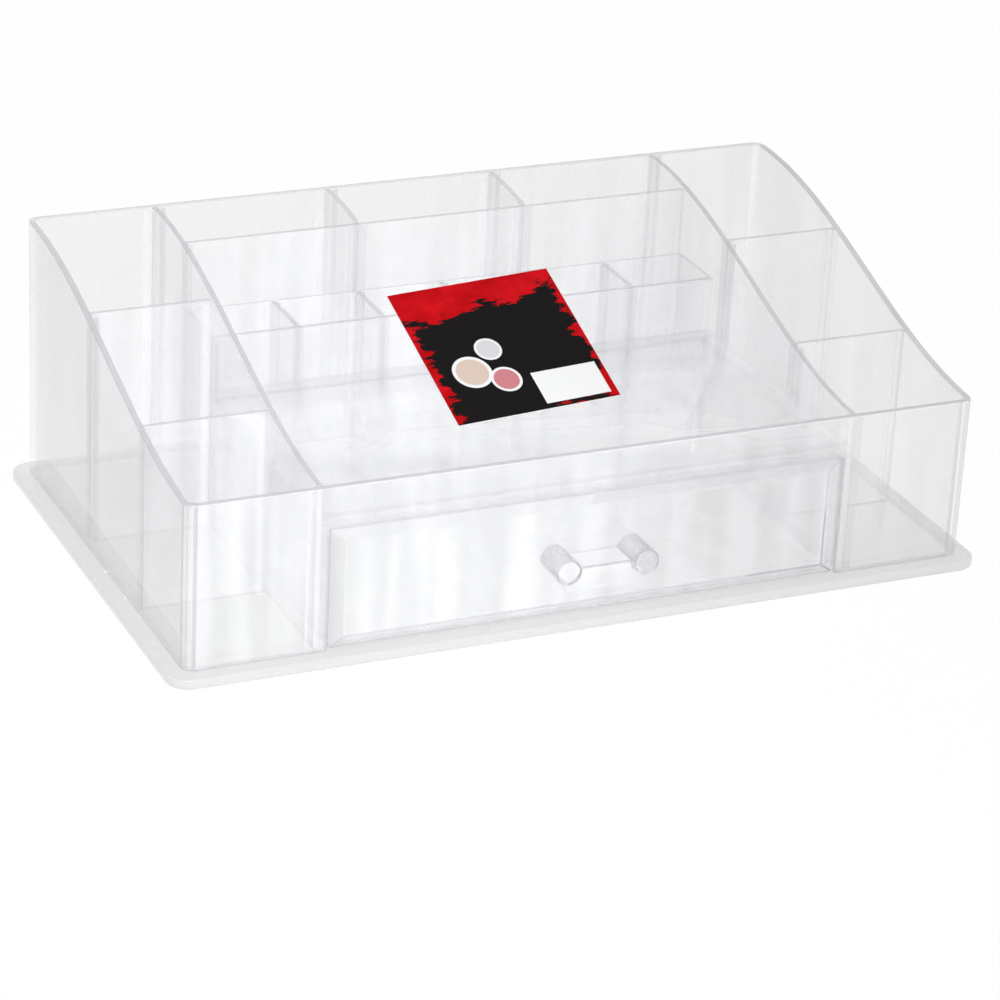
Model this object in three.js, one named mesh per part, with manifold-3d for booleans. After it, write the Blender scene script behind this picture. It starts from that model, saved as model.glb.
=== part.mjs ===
// Clear plastic makeup organizer: a stepped tray of compartments with one sliding drawer.
// Millimetres, Z up. The front, with the drawer, faces -Y. The base plate rests on z = 0.

import * as THREE from 'three';
import { mergeVertices } from 'three/addons/utils/BufferGeometryUtils.js';
import { ConvexGeometry } from 'three/addons/geometries/ConvexGeometry.js';
import Module from 'manifold-3d';

const wasm = await Module();
wasm.setup();

// Base plate, which shows as a flange round the body
const plateWidth = 300;
const plateThickness = 3.7;
const plateCorner = 8;

// Body: outer shell and the sheets inside it
const flange = 5.5; // how far the plate reaches past the body all round
const bodyCorner = 4.4;
const innerCorner = 3;
const wall = 2.3;
const frontHeight = 63;
const backHeight = 100;
const curveLead = 3.9; // the S-curve starts this far ahead of the body's front
const curveTail = 4.4; // and is level this far before the body's back

// Clear depths between the walls in the middle, from front to back, which make up the body's depth
const trayDepth = 106.65;
const midRowDepth = 25.2; // with the lining at its back
const backRowDepth = 28.95;

// Side columns. Behind the first two cells, the third takes what is left.
const columnClear = 43.4; // from the shell to the partition
const sideFrontDepth = 45.35;
const sideMiddleDepth = 53.5;

// Small cells of the middle and back rows
const midRowHeight = 72.6;
const lining = 1.2; // second skin behind and at the ends of the middle row
const midCells = 6;
const backCells = 3;

// Front tray, which is also the roof of the drawer's cavity
const trayUnderside = 48;
const trayThickness = 2;

// Drawer
const openingLip = 1.9; // how far the shell's front reaches past each partition's inner face
const drawerGap = 0.6; // running clearance round the drawer's front and under it
const tubGap = 0.4; // the tub is this much slimmer than the drawer's front on each side
const rearGap = 3; // between the closed drawer and the wall behind it
const drawerFrontThickness = 3;
const bevelSide = 5.2;
const bevelTop = 3.9;
const bevelDepth = 1;
const drawerWall = 2;
const drawerSideTop = 44;

// Handle: two round posts with a solid bar between them
const postRadius = 4.6;
const postLength = 13.5;
const postSpacing = 28.4;
const postHeight = 26.5;
const barReach = 11.6; // how far the bar stands out from the drawer's front
const barTop = 27;
const barBottom = 18.4;

// Square printed card that leans in the front tray, over the rim of the middle row's front wall
const cardSide = 63.5;
const cardThickness = 0.4;
const cardPastRim = 14; // length of the card beyond the rim that it leans on
const cardAcross = 5.5; // from the organizer's middle to the card's middle
const cardTurn = 4; // degrees that the card lies askew in its own plane
const cardGap = 0.05; // keeps the card's solid off the floor and the rim that it touches

// Finish of the curves
const curveSteps = 44;
const roundSteps = 40;
const cornerSteps = 8;
const overrun = 2; // how far cutting bodies reach past what they cut
const weldDistance = 0.0001;

// Sizes that follow from the ones above
const bodyWidth = plateWidth - 2 * flange;
const bodyDepth = trayDepth + midRowDepth + backRowDepth + 4 * wall;
const plateDepth = bodyDepth + 2 * flange;
const centreClear = bodyWidth - 2 * (columnClear + 2 * wall);
const openingWidth = centreClear - 2 * openingLip;
const bodyFront = -bodyDepth / 2;
const bodyBack = bodyDepth / 2;
const partitionInner = centreClear / 2;
const partitionOuter = partitionInner + wall;
const shellInner = bodyWidth / 2 - wall;
const trayFloor = trayUnderside + trayThickness;
const midRowFront = bodyFront + wall + trayDepth;
const midRowBack = midRowFront + wall;
const backRowFront = midRowBack + midRowDepth;
const backRowBack = backRowFront + wall;
const frontCross = bodyFront + wall + sideFrontDepth;
const rearCross = frontCross + wall + sideMiddleDepth;
const drawerBottom = plateThickness + drawerGap;
const drawerFrontWidth = openingWidth - 2 * drawerGap;
const drawerFrontHeight = trayUnderside - drawerGap - drawerBottom;
const tubOuter = drawerFrontWidth / 2 - tubGap;
const tubFront = bodyFront + drawerFrontThickness;
const tubBack = midRowFront - rearGap;
const handleOverhang = postLength - flange;

const group = new THREE.Group();
group.name = 'makeup_organizer';
// The origin is the middle of the whole footprint, with the handle, so the body sits a little back
group.position.y = handleOverhang / 2;

function clearPlastic() {
  return new THREE.MeshStandardMaterial({ color: 0xe6ebed, roughness: 0.06, metalness: 0 });
}

function redInk() {
  return new THREE.MeshStandardMaterial({ color: 0xb81722, roughness: 0.35, metalness: 0 });
}

function piece(name, geometry, material) {
  const mesh = new THREE.Mesh(geometry, material);
  mesh.name = name;
  group.add(mesh);
  return mesh;
}

// A flat sheet that fills a box given by its limits on each axis
function sheet(name, x, y, z, material = clearPlastic()) {
  const mesh = piece(name, new THREE.BoxGeometry(x[1] - x[0], y[1] - y[0], z[1] - z[0]), material);
  mesh.position.set((x[0] + x[1]) / 2, (y[0] + y[1]) / 2, (z[0] + z[1]) / 2);
  return mesh;
}

// Height of the shared S-curve at a place along Y
function topAt(y) {
  const run = bodyDepth + curveLead - curveTail;
  const share = Math.min((y - bodyFront + curveLead) / run, 1);
  return frontHeight + (backHeight - frontHeight) * (1 - Math.cos(Math.PI * share)) / 2;
}

// Side view of a wall under the S-curve, from one place along Y to another
function profile(from, to, bottom) {
  const outline = new THREE.Shape();
  outline.moveTo(from, bottom);
  outline.lineTo(to, bottom);
  for (let i = curveSteps; i >= 0; i--) {
    const y = from + (to - from) * i / curveSteps;
    outline.lineTo(y, topAt(y));
  }
  outline.closePath();
  return outline;
}

// Turns a side view, drawn as (Y, Z), into a wall between two places along X
function across(outline, from, to) {
  const geometry = new THREE.ExtrudeGeometry(outline, { depth: to - from, bevelEnabled: false });
  const axes = new THREE.Matrix4().makeBasis(
    new THREE.Vector3(0, 1, 0), new THREE.Vector3(0, 0, 1), new THREE.Vector3(1, 0, 0));
  geometry.applyMatrix4(axes);
  geometry.translate(from, 0, 0);
  return geometry;
}

function roundedRectangle(width, depth, radius) {
  const outline = new THREE.Shape();
  const x = width / 2 - radius;
  const y = depth / 2 - radius;
  outline.absarc(x, y, radius, 0, Math.PI / 2);
  outline.absarc(-x, y, radius, Math.PI / 2, Math.PI);
  outline.absarc(-x, -y, radius, Math.PI, Math.PI * 3 / 2);
  outline.absarc(x, -y, radius, Math.PI * 3 / 2, Math.PI * 2);
  return outline;
}

function upright(outline, bottom, top) {
  const geometry = new THREE.ExtrudeGeometry(
    outline, { depth: top - bottom, bevelEnabled: false, curveSegments: cornerSteps });
  geometry.translate(0, 0, bottom);
  return geometry;
}

function block(x, y, z) {
  const geometry = new THREE.BoxGeometry(x[1] - x[0], y[1] - y[0], z[1] - z[0]);
  geometry.translate((x[0] + x[1]) / 2, (y[0] + y[1]) / 2, (z[0] + z[1]) / 2);
  return geometry;
}

function toSolid(geometry) {
  const bare = new THREE.BufferGeometry();
  bare.setAttribute('position', geometry.getAttribute('position').clone());
  if (geometry.index) bare.setIndex(geometry.index.clone());
  const merged = mergeVertices(bare, weldDistance);
  return new wasm.Manifold(new wasm.Mesh({
    numProp: 3,
    vertProperties: Float32Array.from(merged.attributes.position.array),
    triVerts: Uint32Array.from(merged.index.array),
  }));
}

function toGeometry(solid) {
  const mesh = solid.getMesh();
  const geometry = new THREE.BufferGeometry();
  geometry.setAttribute('position', new THREE.BufferAttribute(Float32Array.from(mesh.vertProperties), 3));
  geometry.setIndex(new THREE.BufferAttribute(Uint32Array.from(mesh.triVerts), 1));
  geometry.computeVertexNormals();
  return geometry;
}

function basePlate() {
  const outline = roundedRectangle(plateWidth, plateDepth, plateCorner);
  piece('base_plate', upright(outline, 0, plateThickness), clearPlastic());
}

// Front, ends and back in one, with the S-curve along the ends and the drawer's opening in front
function outerShell() {
  const ring = roundedRectangle(bodyWidth, bodyDepth, bodyCorner);
  ring.holes.push(roundedRectangle(bodyWidth - 2 * wall, bodyDepth - 2 * wall, innerCorner));
  const walls = toSolid(upright(ring, plateThickness, backHeight + overrun));
  const reach = bodyWidth / 2 + overrun;
  const side = profile(bodyFront - overrun, bodyBack + overrun, plateThickness - overrun);
  const under = toSolid(across(side, -reach, reach));
  const opening = toSolid(block(
    [-openingWidth / 2, openingWidth / 2],
    [bodyFront - overrun, bodyFront + wall + overrun],
    [plateThickness - overrun, trayUnderside]));
  piece('outer_shell', toGeometry(walls.intersect(under).subtract(opening)), clearPlastic());
}

function partitions() {
  const side = profile(bodyFront + wall, bodyBack - wall, plateThickness);
  piece('left_partition', across(side, -partitionOuter, -partitionInner), clearPlastic());
  piece('right_partition', across(side, partitionInner, partitionOuter), clearPlastic());
}

// Two cross walls in each side column, as high as the S-curve at their front faces
function crossWalls() {
  for (const [place, front] of [['front', frontCross], ['rear', rearCross]]) {
    const height = [plateThickness, topAt(front)];
    sheet(`left_${place}_cross_wall`, [-shellInner, -partitionOuter], [front, front + wall], height);
    sheet(`right_${place}_cross_wall`, [partitionOuter, shellInner], [front, front + wall], height);
  }
}

function backRow() {
  sheet('back_row_front_wall', [-partitionInner, partitionInner], [backRowFront, backRowBack],
    [plateThickness, topAt(backRowFront)]);
  const side = profile(backRowBack, bodyBack - wall, plateThickness);
  for (let i = 1; i < backCells; i++) {
    const middle = centreClear * (i / backCells) - partitionInner;
    piece(`back_row_divider_${i}`, across(side, middle - wall / 2, middle + wall / 2), clearPlastic());
  }
}

// Six small cells between the front tray and the back row, down to the base plate
function midRow() {
  const height = [plateThickness, midRowHeight];
  const cellBack = backRowFront - lining;
  sheet('mid_row_front_wall', [-partitionInner, partitionInner], [midRowFront, midRowBack], height);
  sheet('mid_row_back_lining', [-partitionInner, partitionInner], [cellBack, backRowFront], height);
  sheet('mid_row_left_lining', [-partitionInner, lining - partitionInner], [midRowBack, cellBack], height);
  sheet('mid_row_right_lining', [partitionInner - lining, partitionInner], [midRowBack, cellBack], height);
  for (let i = 1; i < midCells; i++) {
    const middle = centreClear * (i / midCells) - partitionInner;
    sheet(`mid_row_divider_${i}`, [middle - wall / 2, middle + wall / 2], [midRowBack, cellBack], height);
  }
}

function frontTray() {
  sheet('tray_floor', [-partitionInner, partitionInner], [bodyFront + wall, midRowFront],
    [trayUnderside, trayFloor]);
}

// A board with its front face bevelled on all four edges
function drawerFront() {
  const points = [];
  const middle = drawerBottom + drawerFrontHeight / 2;
  const rectangle = (sideInset, topInset, y) => {
    for (const x of [-1, 1]) {
      for (const z of [-1, 1]) {
        points.push(new THREE.Vector3(
          x * (drawerFrontWidth / 2 - sideInset), y, middle + z * (drawerFrontHeight / 2 - topInset)));
      }
    }
  };
  rectangle(0, 0, tubFront);
  rectangle(0, 0, bodyFront + bevelDepth);
  rectangle(bevelSide, bevelTop, bodyFront);
  piece('drawer_front', new ConvexGeometry(points), clearPlastic());
}

function drawerTub() {
  const floorTop = drawerBottom + drawerWall;
  sheet('drawer_floor', [-tubOuter, tubOuter], [tubFront, tubBack], [drawerBottom, floorTop]);
  const sides = [floorTop, drawerSideTop];
  sheet('drawer_left_side', [-tubOuter, drawerWall - tubOuter], [tubFront, tubBack], sides);
  sheet('drawer_right_side', [tubOuter - drawerWall, tubOuter], [tubFront, tubBack], sides);
  sheet('drawer_back', [drawerWall - tubOuter, tubOuter - drawerWall], [tubBack - drawerWall, tubBack], sides);
}

function drawerHandle() {
  const post = x => {
    const geometry = new THREE.CylinderGeometry(postRadius, postRadius, postLength, roundSteps);
    geometry.translate(x, bodyFront - postLength / 2, postHeight);
    return toSolid(geometry);
  };
  const bar = toSolid(block(
    [-postSpacing / 2, postSpacing / 2], [bodyFront - barReach, bodyFront], [barBottom, barTop]));
  const handle = bar.add(post(-postSpacing / 2)).add(post(postSpacing / 2));
  piece('drawer_handle', toGeometry(handle), clearPlastic());
}

// The card's lowest corner stands on the tray's floor, and its underside rests on the rim
function labelCard() {
  const turn = THREE.MathUtils.degToRad(cardTurn);
  const reach = cardSide * (Math.cos(turn) + Math.sin(turn));
  const lean = reach - cardPastRim;
  const tilt = Math.asin((midRowHeight - trayFloor) / lean);
  const geometry = new THREE.BoxGeometry(cardSide, cardSide, cardThickness);
  geometry.rotateZ(turn);
  geometry.translate(cardAcross, reach / 2, cardThickness / 2);
  geometry.rotateX(tilt);
  const card = piece('label_card', geometry, redInk());
  card.position.set(0, midRowFront - lean * Math.cos(tilt), trayFloor + cardGap);
}

basePlate();
outerShell();
partitions();
crossWalls();
backRow();
midRow();
frontTray();
drawerFront();
drawerTub();
drawerHandle();
labelCard();

export default group;
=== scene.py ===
"""Looks of the clear plastic makeup organizer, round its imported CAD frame. Metres, Z up, front towards -Y."""
import math

import bpy
import bmesh
from mathutils import Matrix, Vector


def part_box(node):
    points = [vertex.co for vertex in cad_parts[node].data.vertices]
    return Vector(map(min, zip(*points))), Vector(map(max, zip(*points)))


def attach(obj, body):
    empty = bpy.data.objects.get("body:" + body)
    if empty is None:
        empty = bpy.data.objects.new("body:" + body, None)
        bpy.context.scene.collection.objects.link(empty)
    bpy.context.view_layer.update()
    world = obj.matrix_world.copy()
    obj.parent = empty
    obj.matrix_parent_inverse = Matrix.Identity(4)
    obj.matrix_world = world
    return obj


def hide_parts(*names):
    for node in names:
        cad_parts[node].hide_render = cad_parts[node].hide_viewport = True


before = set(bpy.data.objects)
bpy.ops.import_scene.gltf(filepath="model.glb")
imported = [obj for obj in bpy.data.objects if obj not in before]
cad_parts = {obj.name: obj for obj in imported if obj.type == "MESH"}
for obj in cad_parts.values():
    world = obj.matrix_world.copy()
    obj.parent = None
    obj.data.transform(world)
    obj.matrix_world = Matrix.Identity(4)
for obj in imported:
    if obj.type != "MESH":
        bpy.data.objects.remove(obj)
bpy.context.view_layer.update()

MM = 0.001
SLIP = 0.04 * MM  # every sheet is this much slimmer on each face, so that two that touch don't share a face
RIM = 0.45 * MM  # rounding of a sheet's edges
BODY_CORNER = 4.4 * MM  # radius of the body's upright corners
CARD_TURN = math.radians(4)  # the card lies this much askew in its own plane
SMOOTH = math.radians(35)  # faces that meet at a flatter angle are shaded as one
FACING = 0.9  # a face looks along an axis where its normal has more than this of it
PARTLY = 0.3  # and partly along it from here

PLASTIC_IOR = 1.5
MIRROR_AHEAD = 0.03  # share that a sheet mirrors when it is seen from straight ahead
LIGHT_DRIFT_START, LIGHT_DRIFT_END = -30 * MM, 40 * MM  # where a painted fall-off of light across a piece begins and ends, from left to right
WHITE = (1, 1, 1, 1)
EVEN = (1, 1, 1)  # stretch of marks that are the same in all directions


# Shader maths


class Link:
    """An output socket on which Python's operators add Math nodes."""

    def __init__(self, paint, socket):
        self.paint, self.socket = paint, socket

    def _with(self, operation, *others):
        return self.paint.node("ShaderNodeMath", {"operation": operation}, dict(enumerate((self, *others))))

    def __add__(self, other):
        return self._with("ADD", other)

    def __mul__(self, other):
        return self._with("MULTIPLY", other)

    def __sub__(self, other):
        return self._with("SUBTRACT", other)

    def __truediv__(self, other):
        return self._with("DIVIDE", other)

    def __gt__(self, other):
        return self._with("GREATER_THAN", other)

    def __lt__(self, other):
        return self._with("LESS_THAN", other)

    def high(self, other):
        return self._with("MAXIMUM", other)

    def low(self, other):
        return self._with("MINIMUM", other)

    def power(self, other):
        return self._with("POWER", other)

    def size(self):
        return self._with("ABSOLUTE")

    def ramp(self, start, end, low=0.0, high=1.0):
        return self.paint.node("ShaderNodeMapRange", {"interpolation_type": "SMOOTHSTEP"}, {
            "Value": self, "From Min": start, "From Max": end, "To Min": low, "To Max": high})

    def sibling(self, name):
        """Another output of the same node."""
        return Link(self.paint, self.socket.node.outputs[name])


class Paint:
    """The nodes of a material or of the world."""

    def __init__(self, owner):
        self.owner = owner
        owner.use_nodes = True
        self.tree = owner.node_tree
        self.tree.nodes.clear()

    def node(self, kind, settings=None, values=None, output=0):
        made = self.tree.nodes.new(kind)
        for key, value in (settings or {}).items():
            setattr(made, key, value)
        for key, value in (values or {}).items():
            socket = made.inputs[key]
            if isinstance(value, Link):
                self.tree.links.new(value.socket, socket)
            else:
                socket.default_value = value
        return Link(self, made.outputs[output])

    def place(self, scale=EVEN):
        where = self.node("ShaderNodeTexCoord", output="Object")
        return self.node("ShaderNodeMapping", None, {"Vector": where, "Scale": scale})

    def across(self):
        """How far to the right the place is. Its siblings Y and Z are the other two."""
        return self.node("ShaderNodeSeparateXYZ", None, {"Vector": self.place()}, "X")

    def noise(self, size, scale=EVEN, detail=3.0, rough=0.55):
        return self.node("ShaderNodeTexNoise", None, {
            "Vector": self.place(scale), "Scale": 1 / size, "Detail": detail, "Roughness": rough})

    def mix_colour(self, factor, a, b):
        # Of the node's inputs, 0 is the factor and 6 and 7 are the two colours. Output 2 is the colour.
        return self.node("ShaderNodeMix", {"data_type": "RGBA"}, {0: factor, 6: a, 7: b}, 2)

    def mix_shader(self, factor, a, b):
        return self.node("ShaderNodeMixShader", None, {0: factor, 1: a, 2: b})

    def finish(self, surface, kind="ShaderNodeOutputMaterial"):
        out = self.tree.nodes.new(kind)
        self.tree.links.new(surface.socket, out.inputs["Surface"])
        return self.owner


def paint_for(name):
    return Paint(bpy.data.materials.new(name))


def clear(name, tint, body, share, rough=0.25, streak=0.3, size=0.013, stretch=(1.0, 0.4, 0.08), gloss=0.6,
          outline=0.0, painted_light_drift=0.0):
    """Clear polystyrene as a thin wall: it lets most light straight through, mirrors more at a flat angle, and
    carries a milky share with flow marks.

    Tint is the colour of what is seen through it, and body the colour of the milky share. Streak says how much
    the marks change that share. With an outline, a round piece is milkier towards its sides. With a
    painted_light_drift, the right half of a piece is hazier, or clearer where it is negative: painted light, which
    makes one half of the piece lighter than the other."""
    paint = paint_for(name)
    flow = paint.noise(size, stretch, 1.0)
    marks = flow.ramp(0.3, 0.7)
    dull = [value * (1 - 0.15 * streak) for value in body]
    milk = paint.node("ShaderNodeBsdfPrincipled", None, {
        "Base Color": paint.mix_colour(marks, (*dull, 1), (*body, 1)), "Roughness": rough, "IOR": PLASTIC_IOR})
    through = paint.node("ShaderNodeBsdfTransparent", None, {"Color": (*tint, 1)})
    bump = paint.node("ShaderNodeBump", None, {"Height": flow, "Strength": 0.04, "Distance": 0.4 * MM})
    mirror = paint.node("ShaderNodeBsdfGlossy", None, {"Color": WHITE, "Roughness": 0.04, "Normal": bump})
    grazing = paint.node("ShaderNodeLayerWeight", None, {"Blend": 0.5}, "Facing")
    milky = marks * (share * streak) + share * (1 - streak / 2)
    # painted light: the milky share, and with it the lightness, shifts from left to right
    if painted_light_drift:
        milky = milky + paint.across().ramp(LIGHT_DRIFT_START, LIGHT_DRIFT_END, 0.0, painted_light_drift)
    if outline:
        milky = (milky + grazing.power(2) * outline).low(0.95)
    wall = paint.mix_shader(milky, through, milk)
    seen = paint.mix_shader(grazing.power(5) * gloss + MIRROR_AHEAD, wall, mirror)
    lit = paint.node("ShaderNodeBsdfTransparent", None, {"Color": (0.985, 0.985, 0.985, 1)})
    shadow = paint.node("ShaderNodeLightPath", output="Is Shadow Ray")
    return paint.finish(paint.mix_shader(shadow, seen, lit))


# Panes
PANE_TINT, PANE_BODY = (0.996, 0.996, 0.997), (0.962, 0.963, 0.972)
# Painted shade: the shell's ends, back and back corners take this darker copy of the clear pane, and the front a
# lighter one
SHADED_SHELL_PANE = clear("clear_shell_shaded", (0.978, 0.977, 0.979), (0.745, 0.745, 0.752), 0.16, streak=0.6, size=0.010)
PANE = clear("clear_pane", PANE_TINT, PANE_BODY, 0.13, streak=0.7, size=0.008)
# painted light: the front's milky share fades from its lighter left half towards the right
FRONT_PANE = clear("clear_front", PANE_TINT, PANE_BODY, 0.13, streak=0.7, size=0.008, painted_light_drift=-0.08)
ROW_PANE = clear("clear_row_pane", (0.988, 0.988, 0.99), (0.88, 0.88, 0.89), 0.14, streak=0.7, size=0.008)
# painted light: the same fade from left to right on the drawer's board
DRAWER_PANE = clear("clear_drawer_pane", PANE_TINT, (0.97, 0.972, 0.98), 0.2, streak=0.7, size=0.010,
                    painted_light_drift=-0.11)
TRAY_PANE = clear("clear_tray", PANE_TINT, PANE_BODY, 0.13, streak=0.7, size=0.008, gloss=1.8)
PLATE_PANE = clear("clear_plate", (0.955, 0.955, 0.951), (0.69, 0.69, 0.68), 0.37, streak=0.1, size=0.06,
                   stretch=EVEN)

# Edges, from the top rims to the lines where two sheets meet
RIM_FINISH = clear("clear_rim", (0.95, 0.948, 0.956), (0.51, 0.505, 0.53), 0.7)
BACK_RIM = clear("clear_back_rim", (0.965, 0.965, 0.968), (0.66, 0.66, 0.67), 0.6)
THIN_RIM = clear("clear_thin_rim", (0.96, 0.96, 0.965), (0.56, 0.555, 0.575), 0.6)
SOFT_RIM = clear("clear_soft_rim", (0.985, 0.985, 0.988), (0.80, 0.80, 0.81), 0.25)
JOINT = clear("clear_joint", (0.97, 0.968, 0.974), (0.64, 0.635, 0.655), 0.3)
# Painted light on the fillets: grey painted shade on those right of a wall, and a painted highlight on those left
# of it
FILLET_SHADE = clear("clear_fillet_shade", (0.965, 0.962, 0.968), (0.52, 0.515, 0.535), 0.22)
FILLET_HIGHLIGHT = clear("clear_fillet_highlight", (0.999, 0.999, 0.999), (0.98, 0.98, 0.985), 0.25)
LINE = clear("clear_line", (0.96, 0.957, 0.964), (0.54, 0.535, 0.56), 0.42)
# Painted shade on the drawer's board: its edge lines towards the lower right corner, and its left bevel
SHADED_LINE = clear("clear_shaded_line", (0.88, 0.88, 0.89), (0.36, 0.36, 0.375), 0.5)
BEVEL = clear("clear_shaded_bevel", (0.94, 0.94, 0.935), (0.62, 0.62, 0.61), 0.42, streak=0.1, size=0.06, stretch=EVEN)
# Painted highlight: a near-white milky finish, laid under the front rim, on the back's rounded corners and on the
# partitions' front ends; the cement beads take the same white
HIGHLIGHT_WHITE = clear("clear_highlight_white", (0.998, 0.998, 0.998), (0.96, 0.96, 0.97), 0.3)
BONDED = clear("clear_bonded", (0.998, 0.998, 0.998), (0.85, 0.85, 0.86), 0.02)

# The handle's ends, its flat top, its round sides and the lines round its ends
HANDLE_FACE = clear("clear_handle_face", (0.99, 0.99, 0.992), (0.90, 0.90, 0.91), 0.18, rough=0.12, streak=0.5,
                    size=0.008, stretch=EVEN)
HANDLE_TOP = clear("clear_handle_top", (0.985, 0.985, 0.986), (0.84, 0.84, 0.85), 0.2, rough=0.12, streak=0.5,
                   size=0.008, stretch=EVEN)
HANDLE_SIDE = clear("clear_handle_side", (0.965, 0.962, 0.97), (0.52, 0.515, 0.54), 0.3, rough=0.12, streak=0.8,
                    size=0.005, stretch=(1, 0.3, 1), outline=0.7)
HANDLE_LINE = clear("clear_handle_line", (0.92, 0.915, 0.925), (0.42, 0.415, 0.44), 0.5, rough=0.12)

# The card's print. Places and sizes are shares of the card's side, from its lower left corner.
RED, PALE_RED, BLACK = (0.42, 0.002, 0.004, 1), (0.60, 0.006, 0.012, 1), (0.008, 0.007, 0.007, 1)
RING_WHITE, PANEL_WHITE = (0.78, 0.78, 0.78, 1), (0.80, 0.80, 0.79, 1)
FIELD_CENTRE, FIELD_HALF, FIELD_SLANT = (0.49, 0.40), (0.46, 0.42), 0.16
COMPACTS = (  # across, up, radius, colour
    (0.24, 0.36, 0.115, (0.62, 0.50, 0.42, 1)),
    (0.41, 0.27, 0.09, (0.55, 0.20, 0.22, 1)),
    (0.40, 0.50, 0.08, (0.60, 0.60, 0.62, 1)))
COMPACT_INSIDE = 0.82  # of its radius, within the white ring
PANEL_ACROSS, PANEL_UP = (0.56, 0.96), (0.05, 0.28)


def card_print(low, high):
    """A generic print: a brushed dark field on red, three plain round compacts and a bare white panel."""
    paint = paint_for("card_print")
    x = paint.across()
    z = x.sibling("Z")
    reach = high.x - low.x
    side = reach / (math.cos(CARD_TURN) + math.sin(CARD_TURN))
    aside, uphill = x - (low.x + high.x) / 2, ((z - low.z) / (high.z - low.z) - 0.5) * reach
    u = (aside * math.cos(CARD_TURN) + uphill * math.sin(CARD_TURN)) / side + 0.5
    v = (uphill * math.cos(CARD_TURN) - aside * math.sin(CARD_TURN)) / side + 0.5
    brush = paint.noise(0.005, (0.4, 1, 2.2), 6.0, 0.7)
    fray = brush - 0.5
    slant = (u - 0.5) * FIELD_SLANT
    dark = (((u - FIELD_CENTRE[0]).size() + fray * 0.5 < FIELD_HALF[0])
            * ((v - FIELD_CENTRE[1] - slant).size() + fray * 0.45 < FIELD_HALF[1]))
    red = paint.mix_colour(paint.noise(0.012, EVEN, 4.0).ramp(0.35, 0.7), RED, PALE_RED)
    face = paint.mix_colour(dark, red, BLACK)
    for across, up, radius, colour in COMPACTS:
        far = ((u - across) * (u - across) + (v - up) * (v - up)).power(0.5)
        face = paint.mix_colour(far < radius, face, RING_WHITE)
        face = paint.mix_colour(far < radius * COMPACT_INSIDE, face, colour)
    panel = (u > PANEL_ACROSS[0]) * (u < PANEL_ACROSS[1]) * (v > PANEL_UP[0]) * (v < PANEL_UP[1])
    face = paint.mix_colour(panel, face, PANEL_WHITE)
    return paint.finish(paint.node("ShaderNodeBsdfPrincipled", None, {
        "Base Color": face, "Roughness": brush.ramp(0.2, 0.8, 0.35, 0.5), "IOR": PLASTIC_IOR,
        "Specular IOR Level": 0.03}))


def paper():
    paint = paint_for("card_board")
    fibre = paint.noise(0.0012, EVEN, 3.0)
    colour = paint.mix_colour(fibre.ramp(0.3, 0.7), (0.70, 0.70, 0.69, 1), (0.80, 0.80, 0.79, 1))
    return paint.finish(paint.node("ShaderNodeBsdfPrincipled", None, {"Base Color": colour, "Roughness": 0.8}))


# Pieces


def only(obj):
    bpy.ops.object.select_all(action="DESELECT")
    obj.select_set(True)
    bpy.context.view_layer.objects.active = obj


def edit(obj):
    only(obj)
    bpy.ops.object.mode_set(mode="EDIT")
    bpy.ops.mesh.select_all(action="SELECT")


def leave():
    bpy.ops.object.mode_set(mode="OBJECT")


def copy_of(obj):
    made = obj.copy()
    made.data = obj.data.copy()
    bpy.context.scene.collection.objects.link(made)
    return made


def likeness(node, name):
    """A merged copy of a CAD node with its flat faces whole."""
    obj = copy_of(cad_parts[node])
    obj.name = obj.data.name = name
    for key in list(obj.keys()):
        del obj[key]
    obj.parent = None
    obj.data.materials.clear()
    edit(obj)
    bpy.ops.mesh.remove_doubles(threshold=2e-6)
    bpy.ops.mesh.dissolve_limited(angle_limit=math.radians(0.5))
    leave()
    return obj


def slimmer(obj, amount):
    """Moves every face in by the same amount."""
    mesh = bmesh.new()
    mesh.from_mesh(obj.data)
    bmesh.ops.recalc_face_normals(mesh, faces=mesh.faces)
    moves = {}
    for corner in mesh.verts:
        normals = []
        for face in corner.link_faces:
            if all((face.normal - n).length > 0.02 for n in normals):
                normals.append(face.normal.copy())
        moves[corner] = sum(normals, Vector())
    for corner, total in moves.items():
        corner.co -= Vector(max(-1, min(1, t)) for t in total) * amount
    mesh.to_mesh(obj.data)
    mesh.free()


def rounded(obj, radius, segments=2, angle=40):
    only(obj)
    bevel = obj.modifiers.new("rim", "BEVEL")
    bevel.width, bevel.segments = radius, segments
    bevel.limit_method, bevel.angle_limit = "ANGLE", math.radians(angle)
    bpy.ops.object.modifier_apply(modifier=bevel.name)
    bpy.ops.object.shade_smooth_by_angle(angle=SMOOTH)


def cut(obj, axis, *places):
    """Divides the faces of a piece at places along an axis, so that each part can have a finish of its own."""
    edit(obj)
    for place in places:
        point, normal = [0, 0, 0], [0, 0, 0]
        point[axis], normal[axis] = place, 1
        bpy.ops.mesh.select_all(action="SELECT")
        bpy.ops.mesh.bisect(plane_co=point, plane_no=normal)
    leave()


def coat(obj, finishes, choose):
    """Gives each face the one of the finishes that choose(centre, normal) returns."""
    for finish in finishes:
        obj.data.materials.append(finish)
    for face in obj.data.polygons:
        face.material_index = finishes.index(choose(face.center, face.normal))


def belongs(obj, body, slot, *nodes):
    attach(obj, body)
    if nodes:
        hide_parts(*nodes)
    return obj


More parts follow.
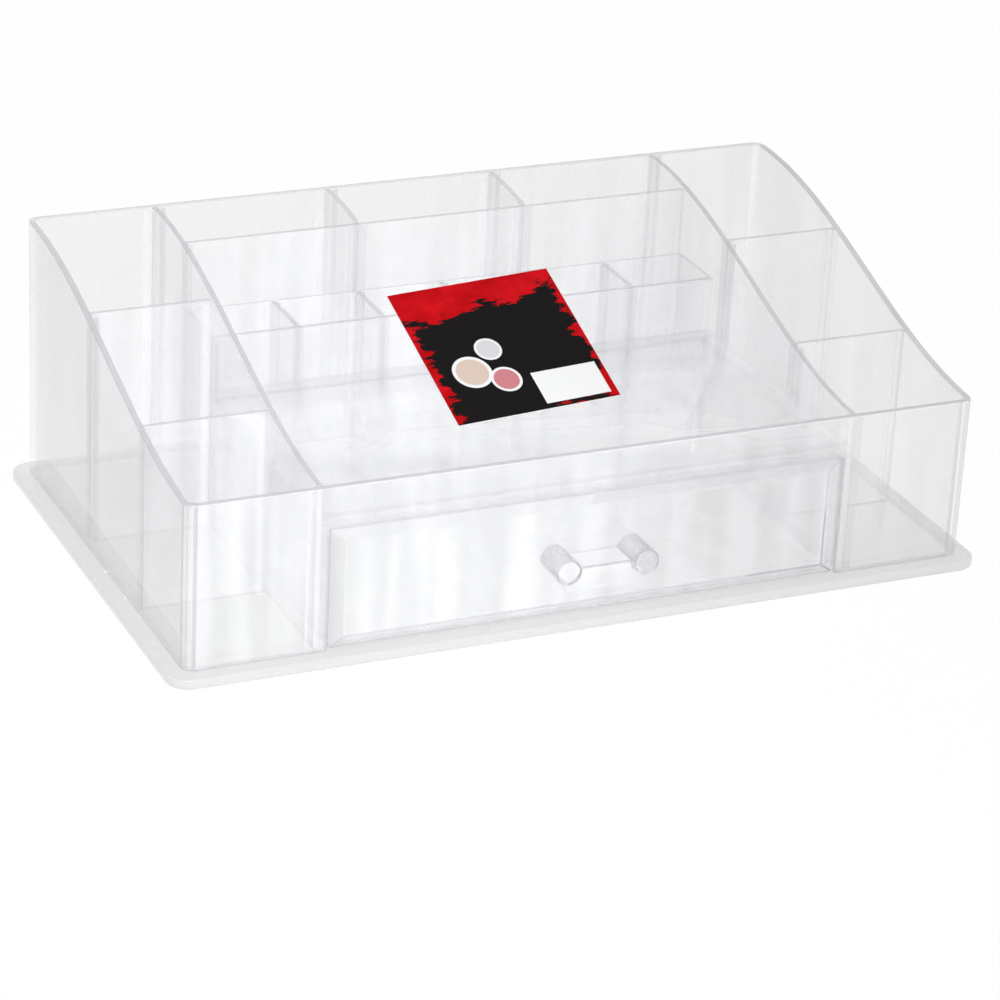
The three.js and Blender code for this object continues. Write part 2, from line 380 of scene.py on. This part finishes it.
def sheet(node, body="organizer", slot="clear_body", pane=PANE, rim=RIM_FINISH):
    """A sheet with clear faces, grey polished top edges and bonded edges; a partition's front end carries a painted
    highlight.
    """
    low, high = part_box(node)
    size = high - low
    thin = min(range(3), key=lambda axis: size[axis])
    obj = likeness(node, node + "_sheet")
    slimmer(obj, SLIP)
    rounded(obj, min(RIM, size[thin] * 0.3))

    def choose(centre, normal):
        if abs(normal[thin]) > FACING:
            return pane
        if node == "tray_floor":
            return LINE if normal.y > FACING else BONDED
        if normal.y < -FACING and node != "mid_row_front_wall":
            # a partition's front end carries a painted highlight
            return HIGHLIGHT_WHITE if "partition" in node else LINE
        if "cross" in node and (normal.z < -FACING or (normal.x < -FACING and "left" in node)):
            return LINE
        return rim if normal.z > PARTLY else JOINT

    coat(obj, (pane, rim, JOINT, HIGHLIGHT_WHITE, LINE, BONDED), choose)
    return belongs(obj, body, slot, node)


def shell():
    """Front, ends and back: grey rims, a painted highlight under the front rim and on the back's rounded corners,
    painted shade on the ends and back, and lines down the rounded corners.
    """
    low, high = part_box("outer_shell")
    obj = likeness("outer_shell", "outer_shell_walls")
    slimmer(obj, SLIP)
    rounded(obj, RIM)
    cut(obj, 0, low.x + BODY_CORNER, high.x - BODY_CORNER)
    cut(obj, 1, low.y + BODY_CORNER, high.y - BODY_CORNER)

    def choose(centre, normal):
        in_front, at_back = centre.y < low.y + BODY_CORNER, centre.y > high.y - BODY_CORNER
        if normal.z > PARTLY:
            if at_back:
                return BACK_RIM
            # the bevel under the front rim carries a painted highlight
            return HIGHLIGHT_WHITE if normal.y < -0.85 and in_front else RIM_FINISH
        if normal.z < -PARTLY:
            right_or_raised = centre.x > high.x - BODY_CORNER or centre.z > low.z + BODY_CORNER
            return JOINT if right_or_raised else LINE
        if abs(normal.x) > FACING and abs(centre.x) < high.x - 2 * BODY_CORNER:  # the ends of the drawer's opening
            return LINE if centre.x > 0 else JOINT
        slant = min(abs(normal.x), abs(normal.y))  # 0 on the flat walls, more on the round corners
        if slant < 0.05:
            # the front takes the lighter pane, and the ends and back take the painted-shade copy
            return FRONT_PANE if in_front else SHADED_SHELL_PANE
        if centre.y > 0:
            # the back's rounded corners carry a painted highlight
            return SHADED_SHELL_PANE if slant < 0.4 else HIGHLIGHT_WHITE
        if centre.x > 0:
            return JOINT
        return LINE if slant < 0.4 else FRONT_PANE

    coat(obj, (SHADED_SHELL_PANE, RIM_FINISH, JOINT, HIGHLIGHT_WHITE, LINE, FRONT_PANE, BACK_RIM), choose)
    return belongs(obj, "organizer", "clear_body", "outer_shell")


def plate():
    obj = likeness("base_plate", "base_plate_sheet")
    rounded(obj, 0.8 * MM, 3)
    coat(obj, (PLATE_PANE,), lambda centre, normal: PLATE_PANE)
    return belongs(obj, "organizer", "clear_plate", "base_plate")


def handle():
    """Posts with grey sides and lines round their ends, and a bar with a dark line round its top."""
    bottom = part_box("drawer_handle")[0].z
    bar_half, bar_foot, lower_half, border = 8.4 * MM, 2 * MM, 5 * MM, 0.55 * MM
    finishes = (HANDLE_FACE, HANDLE_TOP, HANDLE_SIDE, HANDLE_LINE)
    face_slot, top_slot, line_slot = (finishes.index(finish) for finish in (HANDLE_FACE, HANDLE_TOP, HANDLE_LINE))
    obj = likeness("drawer_handle", "drawer_handle_cast")
    slimmer(obj, SLIP)

    def choose(centre, normal):
        if abs(normal.y) > FACING:
            return HANDLE_FACE
        return HANDLE_TOP if abs(centre.x) < bar_half or centre.z < bottom + bar_foot else HANDLE_SIDE

    coat(obj, finishes, choose)
    edit(obj)
    bpy.ops.mesh.select_all(action="DESELECT")
    mesh = bmesh.from_edit_mesh(obj.data)
    for face in mesh.faces:
        face.select_set(face.normal.y < -FACING or (face.material_index == top_slot and face.normal.z > FACING))
        if face.select:
            face.material_index = line_slot
    bmesh.update_edit_mesh(obj.data)
    bpy.ops.mesh.inset(thickness=border, use_individual=True)
    mesh = bmesh.from_edit_mesh(obj.data)
    for face in mesh.faces:
        if face.select:
            face.material_index = face_slot if face.normal.y < -FACING else top_slot
        elif face.material_index == line_slot and face.calc_center_median().z < bottom + lower_half:
            face.material_index = top_slot
    bmesh.update_edit_mesh(obj.data)
    leave()
    bpy.ops.object.shade_smooth_by_angle(angle=SMOOTH)
    return belongs(obj, "drawer", "clear_drawer", "drawer_handle")


def front():
    """The drawer's board: a flat panel inside four bevels, each of its own tone, with lines along their edges. The
    left bevel, the right half of the top bevel and the lines towards the lower right corner are greyer: painted
    shade.
    """
    side_slope, top_slope = 0.189, 0.248  # how far the bevels' normals lean
    near, straight, short = 0.012, 0.02, 0.018
    dark_below, dark_beyond = 28 * MM, 60 * MM  # painted shade: the lines are darker towards the lower right corner
    obj = likeness("drawer_front", "drawer_front_board")
    slimmer(obj, SLIP)
    rounded(obj, 0.4 * MM, 2, 8)
    cut(obj, 0, 0, dark_beyond)
    cut(obj, 2, dark_below)

    def choose(centre, normal):
        if abs(normal.y) > 0.999:
            return DRAWER_PANE
        if normal.y > -FACING:
            return LINE if normal.z < -0.5 else JOINT
        if abs(abs(normal.x) - side_slope) < near and abs(normal.z) < straight:
            # the left bevel is greyer: painted shade
            return BEVEL if normal.x < 0 else PANE
        if abs(abs(normal.z) - top_slope) < near and abs(normal.x) < straight:
            # the right half of the top bevel is greyer: painted shade
            return JOINT if normal.z > 0 and centre.x > 0 else PANE
        if straight < normal.x < side_slope - short:
            return SHADED_LINE if centre.z < dark_below else LINE
        if short - top_slope < normal.z < -straight:
            return SHADED_LINE if centre.x > dark_beyond else LINE
        return PANE

    coat(obj, (DRAWER_PANE, JOINT, LINE, PANE, SHADED_LINE, BEVEL), choose)
    return belongs(obj, "drawer", "clear_drawer", "drawer_front")


def card():
    low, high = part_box("label_card")
    obj = likeness("label_card", "label_card_print")
    rounded(obj, 0.08 * MM, 1)
    face, board = card_print(low, high), paper()
    coat(obj, (face, board), lambda centre, normal: face if normal.z > 0.5 else board)
    obj.visible_shadow = obj.visible_diffuse = obj.visible_glossy = False
    return belongs(obj, "organizer", "card", "label_card")


# Moulded fillets in the corners of the compartments

FILLET_FINISHES = (BONDED, FILLET_SHADE, FILLET_HIGHLIGHT, PANE)


def fillet_form():
    """One fillet, 1 m long and 1 m wide on each leg, from the origin: a bar with its outer edge hollowed out."""
    bpy.ops.object.select_all(action="DESELECT")
    bpy.ops.mesh.primitive_cube_add(size=1, location=(0.5, 0.5, 0.5))
    obj = bpy.context.object
    bpy.ops.object.transform_apply(location=True, rotation=True, scale=True)
    edit(obj)
    bpy.ops.mesh.select_all(action="DESELECT")
    mesh = bmesh.from_edit_mesh(obj.data)
    for corner in mesh.verts:
        corner.select_set(corner.co.x > 0.9 and corner.co.y > 0.9)
    mesh.select_flush(True)
    bmesh.update_edit_mesh(obj.data)
    bpy.ops.mesh.bevel(offset=0.96, segments=6, profile=0.08, affect="EDGES")
    leave()
    coat(obj, FILLET_FINISHES, lambda centre, normal: BONDED if min(normal.x, normal.y) < 0.01 else FILLET_SHADE)
    return obj


FORM = fillet_form()
X, Y, Z = Vector((1, 0, 0)), Vector((0, 1, 0)), Vector((0, 0, 1))


def fillet(corner, one, two, length, leg, soft=False):
    """A copy of the form in a corner, with its legs along two directions and its length along the third.

    One to the left of a wall carries a painted highlight, one to the right of it painted shade, and a soft one has
    neither."""
    # painted light: highlight for a fillet left of a wall, shade for one right of it
    shown = PANE if soft else (FILLET_HIGHLIGHT if min(one.x, two.x) < 0 else FILLET_SHADE)
    if one.cross(two).dot(length) < 0:
        one, two = two, one
    obj = copy_of(FORM)
    turn = Matrix((one * leg, two * leg, length)).transposed().to_4x4()
    obj.matrix_world = Matrix.Translation(Vector(corner)) @ turn
    for face in obj.data.polygons:
        if FILLET_FINISHES[face.material_index] == FILLET_SHADE:
            face.material_index = FILLET_FINISHES.index(shown)
    return obj


def joined(name, parts, body, slot):
    bpy.context.view_layer.update()
    bpy.ops.object.select_all(action="DESELECT")
    for part in parts:
        part.select_set(True)
    bpy.context.view_layer.objects.active = parts[0]
    bpy.ops.object.join()
    bpy.ops.object.transform_apply(location=True, rotation=True, scale=True)
    obj = bpy.context.object
    obj.name = obj.data.name = name
    bpy.ops.object.shade_smooth_by_angle(angle=SMOOTH)
    return belongs(obj, body, slot)


def cell(x, y, bottom, tops, leg, corners="abcd"):
    """Fillets up the corners of a cell. Corners a and b are in front, left and right; c and d behind."""
    made = []
    for key, sx, sy in (("a", 1, 1), ("b", -1, 1), ("c", 1, -1), ("d", -1, -1)):
        if key in corners:
            place = (x[0] if sx > 0 else x[1], y[0] if sy > 0 else y[1], bottom)
            top = tops[0] if sy > 0 else tops[1]
            made.append(fillet(place, X * sx, Y * sy, Z * (top - bottom), leg))
    return made


def round_floor(x, y, floor, leg, soft):
    """Fillets along the front, back, left and right of a floor. Soft is for the front and back ones."""
    wide, deep = X * (x[1] - x[0]), Y * (y[1] - y[0])
    return [fillet((x[0], y[0], floor), Y, Z, wide, leg, soft), fillet((x[0], y[1], floor), -Y, Z, wide, leg, soft),
            fillet((x[0], y[0], floor), X, Z, deep, leg, True), fillet((x[1], y[0], floor), -X, Z, deep, leg, True)]


def between(first, dividers, last):
    """The spaces from a first place to a last one that dividers leave, from left to right."""
    edges = [first] + [corner.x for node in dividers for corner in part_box(node)] + [last]
    return list(zip(edges[::2], edges[1::2]))


def fillets():
    plate_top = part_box("base_plate")[1].z
    shell_low, shell_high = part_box("outer_shell")
    low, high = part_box("mid_row_front_wall"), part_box("mid_row_back_lining")
    wall = low[1].y - low[0].y
    front, back = shell_low.y + wall, shell_high.y - wall
    tray_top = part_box("tray_floor")[1].z
    front_top, back_top, row_top = tray_top + 12.4 * MM, shell_high.z - 0.7 * MM, high[1].z - 0.7 * MM
    drop, leg, row_leg = 1.4 * MM, 3 * MM, 1.6 * MM
    x0, x1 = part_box("left_partition")[1].x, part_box("right_partition")[0].x

    columns = {
        "left": ((shell_low.x + wall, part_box("left_partition")[0].x), ("bd", "abcd", "abd")),
        "right": ((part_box("right_partition")[1].x, shell_high.x - wall), ("ac", "abcd", "abc"))}
    for side, (x, keys) in columns.items():
        one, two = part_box(side + "_front_cross_wall"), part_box(side + "_rear_cross_wall")
        tops = (front_top, one[1].z - drop, two[1].z - drop, back_top)
        rows = ((front, one[0].y), (one[1].y, two[0].y), (two[1].y, back))
        parts = []
        for y, row_tops, corners in zip(rows, zip(tops, tops[1:]), keys):
            parts += cell(x, y, plate_top, row_tops, leg, corners)
        joined(side + "_column_fillets", parts, "organizer", "clear_body")

    row_wall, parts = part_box("back_row_front_wall"), []
    for x in between(x0, [f"back_row_divider_{i}" for i in (1, 2)], x1):
        parts += cell(x, (row_wall[1].y, back), plate_top, (row_wall[1].z - drop, back_top), leg)
    joined("back_row_fillets", parts, "organizer", "clear_body")

    left, right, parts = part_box("mid_row_left_lining")[1].x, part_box("mid_row_right_lining")[0].x, []
    for x in between(left, [f"mid_row_divider_{i}" for i in range(1, 6)], right):
        parts += cell(x, (low[1].y, high[0].y), plate_top, (row_top, row_top), row_leg)
    joined("mid_row_fillets", parts, "organizer", "clear_body")

    tray = (front, low[0].y)
    parts = cell((x0, x1), tray, tray_top, (front_top, row_top), leg)
    parts += round_floor((x0, x1), tray, tray_top, leg, False)
    joined("front_tray_fillets", parts, "organizer", "clear_body")


def tub_fillets():
    """Inside the drawer: up its corners and round its floor."""
    floor_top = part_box("drawer_floor")[1].z
    x = (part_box("drawer_left_side")[1].x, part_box("drawer_right_side")[0].x)
    y = (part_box("drawer_front")[1].y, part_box("drawer_back")[0].y)
    top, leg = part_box("drawer_back")[1].z - 0.6 * MM, 2 * MM
    parts = cell(x, y, floor_top, (top, top), leg) + round_floor(x, y, floor_top, leg, True)
    joined("drawer_tub_fillets", parts, "drawer", "clear_drawer")


def bond_beads():
    """Small beads of cement that were squeezed out at the foot of the body's ends, on the base plate."""
    left_beads = ((11.7, 1.0), (-1.0, 1.2), (-22.3, 0.9), (-37.4, 1.1), (43.0, 0.7))  # place in mm, scale
    right_beads = ((-14.0, 0.9), (31.0, 1.1))
    shell_low, shell_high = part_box("outer_shell")
    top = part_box("base_plate")[1].z
    bpy.ops.object.select_all(action="DESELECT")
    bpy.ops.mesh.primitive_ico_sphere_add(subdivisions=2, radius=0.9 * MM, location=(0, 0, 0))
    bead = bpy.context.object
    edit(bead)
    bpy.ops.transform.resize(value=(0.6, 1.3, 0.55))
    leave()
    coat(bead, (HIGHLIGHT_WHITE,), lambda centre, normal: HIGHLIGHT_WHITE)
    parts = []
    for x, beads in ((shell_low.x, left_beads), (shell_high.x, right_beads)):
        for y, size in beads:
            obj = copy_of(bead)
            obj.location, obj.scale = (x, y * MM, top), (size, size, size)
            parts.append(obj)
    bpy.data.objects.remove(bead)
    joined("bond_beads", parts, "organizer", "clear_body")


PARTITIONS = ["left_partition", "right_partition"]
WALLS = [
    "left_front_cross_wall", "left_rear_cross_wall", "right_front_cross_wall", "right_rear_cross_wall",
    "back_row_front_wall", "back_row_divider_1", "back_row_divider_2", "mid_row_front_wall",
    "mid_row_back_lining", "mid_row_left_lining", "mid_row_right_lining", "mid_row_divider_1",
    "mid_row_divider_2", "mid_row_divider_3", "mid_row_divider_4", "mid_row_divider_5", "tray_floor"]
PANES = {"tray_floor": TRAY_PANE, "mid_row_front_wall": ROW_PANE}
DRAWER_SHEETS = ["drawer_floor", "drawer_left_side", "drawer_right_side", "drawer_back"]

plate()
shell()
for node in PARTITIONS:
    sheet(node)
for node in WALLS:
    sheet(node, pane=PANES.get(node, PANE), rim=THIN_RIM)
for node in DRAWER_SHEETS:
    sheet(node, "drawer", "clear_drawer", rim=SOFT_RIM)
front()
handle()
card()
fillets()
tub_fillets()
bond_beads()
bpy.data.objects.remove(FORM)


# Floor, light and camera


def shown_rays(paint):
    """1 for what the camera sees, also by way of gloss or clear plastic, and 0 for what only lights."""
    rays = paint.node("ShaderNodeLightPath", output="Is Camera Ray")
    return rays.high(rays.sibling("Is Glossy Ray")).high(rays.sibling("Is Transmission Ray"))


def backdrop():
    bpy.ops.object.select_all(action="DESELECT")
    bpy.ops.mesh.primitive_plane_add(size=12, location=(0, 0, -0.2 * MM))
    floor = bpy.context.object
    floor.name = "floor"
    paint = paint_for("floor_white")
    plain = paint.node("ShaderNodeBsdfDiffuse", None, {"Color": (0.95, 0.95, 0.95, 1)})
    bright = paint.node("ShaderNodeEmission", None, {"Color": WHITE, "Strength": 1.0})
    floor.data.materials.append(paint.finish(paint.mix_shader(shown_rays(paint) * 0.97, plain, bright)))


def sky():
    """Soft light from all sides, seen as white."""
    world = bpy.data.worlds.new("studio")
    bpy.context.scene.world = world
    paint = Paint(world)
    soft = paint.node("ShaderNodeBackground", None, {"Color": WHITE, "Strength": 0.54})
    white = paint.node("ShaderNodeBackground", None, {"Color": WHITE, "Strength": 1.0})
    paint.finish(paint.mix_shader(shown_rays(paint), soft, white), "ShaderNodeOutputWorld")


def stand(name, data, place, aim):
    """Puts a lamp in its place, aimed at a point."""
    obj = bpy.data.objects.new(name, data)
    bpy.context.scene.collection.objects.link(obj)
    obj.location = place
    obj.rotation_euler = (Vector(aim) - Vector(place)).to_track_quat("-Z", "Y").to_euler()
    return obj


def lamps():
    key = bpy.data.lights.new("key", "AREA")
    key.shape, key.size, key.energy = "SQUARE", 0.5, 4
    stand("key", key, (-0.35, -0.8, 0.7), (0, 0, 0.03))
    left = bpy.data.lights.new("front_left", "SPOT")
    left.color, left.energy, left.shadow_soft_size = (0.93, 0.96, 1.0), 106, 0.2
    left.spot_size, left.spot_blend = math.radians(14.5), 1.0
    stand("front_left", left, (-0.1, -1.3, 0.8), (-0.082, -0.05, 0.03)).visible_glossy = False


def camera():
    """The photograph's view: from the left of the front and from above, with the picture slightly turned."""
    azimuth, elevation, roll = math.radians(-24.82), math.radians(24.60), math.radians(2.94)
    target, distance, lens, film = Vector((0.00530, 0.00567, 0.00655)), 1.3838, 139.54, 36
    level = math.cos(elevation)
    back = Vector((math.sin(azimuth) * level, -math.cos(azimuth) * level, math.sin(elevation)))
    right = Vector((math.cos(azimuth), math.sin(azimuth), 0))
    up = back.cross(right)
    rolled_right = right * math.cos(roll) + up * math.sin(roll)
    rolled_up = up * math.cos(roll) - right * math.sin(roll)
    data = bpy.data.cameras.new("camera")
    data.lens, data.sensor_width = lens, film
    data.clip_start, data.clip_end = 0.05, 50
    obj = bpy.data.objects.new("camera", data)
    bpy.context.scene.collection.objects.link(obj)
    turned = Matrix((rolled_right, rolled_up, back)).transposed()
    obj.matrix_world = Matrix.Translation(target + back * distance) @ turned.to_4x4()
    bpy.context.scene.camera = obj


backdrop()
sky()
lamps()
camera()
bpy.context.scene.view_settings.view_transform = "Standard"
cycles = bpy.context.scene.cycles  # many clear sheets stand behind each other
cycles.max_bounces, cycles.diffuse_bounces = 32, 8
cycles.transmission_bounces, cycles.transparent_max_bounces = 24, 64
